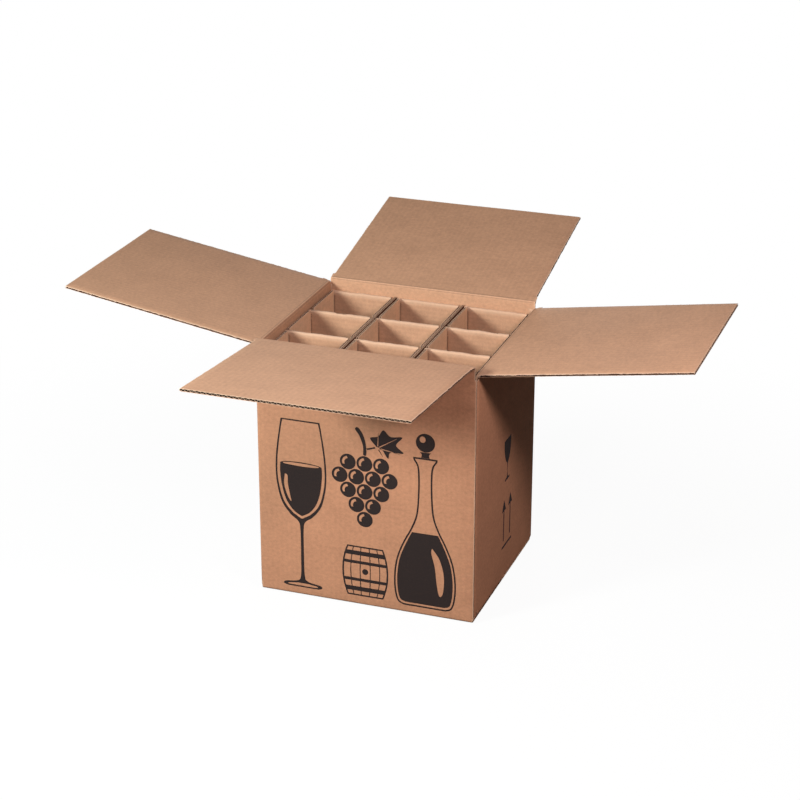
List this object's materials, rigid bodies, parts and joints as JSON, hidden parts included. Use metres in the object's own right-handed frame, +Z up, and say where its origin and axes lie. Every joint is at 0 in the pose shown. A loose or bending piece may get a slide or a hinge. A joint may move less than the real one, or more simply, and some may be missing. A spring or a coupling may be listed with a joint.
{
  "type": "bottle shipping box",
  "caption": "Tall corrugated cardboard shipping box for bottles, with folded cell inserts inside and full-length top flaps that open outwards.",
  "frame": {"origin": "middle of the carton's underside, on the ground", "axes": "+Z up, the front wall faces -Y, +X to the right as seen from the front"},
  "size_m": [0.8752, 0.7548, 0.4199],
  "materials": {
    "kraft_board": "matte",
    "insert_board": "matte"
  },
  "bodies": {
    "carton": {"carton": "kraft_board", "bottle_insert_1": "insert_board", "bottle_insert_2": "insert_board", "bottle_insert_3": "insert_board"},
    "right_flap": {"right_flap": "kraft_board"},
    "left_flap": {"left_flap": "kraft_board"},
    "back_flap": {"back_flap": "kraft_board"},
    "front_flap": {"front_flap": "kraft_board"}
  },
  "joints": [
    {"name": "right_flap_hinge", "type": "hinge", "parent": "carton", "child": "right_flap", "pos_m": [0.156, 0, 0.3575], "axis": [0, 1, 0], "range_deg": [-171.5, 95.5]},
    {"name": "left_flap_hinge", "type": "hinge", "parent": "carton", "child": "left_flap", "pos_m": [-0.156, 0, 0.3617], "axis": [0, -1, 0], "range_deg": [-170.7, 96.3]},
    {"name": "back_flap_hinge", "type": "hinge", "parent": "carton", "child": "back_flap", "pos_m": [0, 0.1375, 0.3659], "axis": [-1, 0, 0], "range_deg": [-168.1, 98.9]},
    {"name": "front_flap_hinge", "type": "hinge", "parent": "carton", "child": "front_flap", "pos_m": [0, -0.1375, 0.3701], "axis": [1, 0, 0], "range_deg": [-174.8, 92.2]}
  ]
}
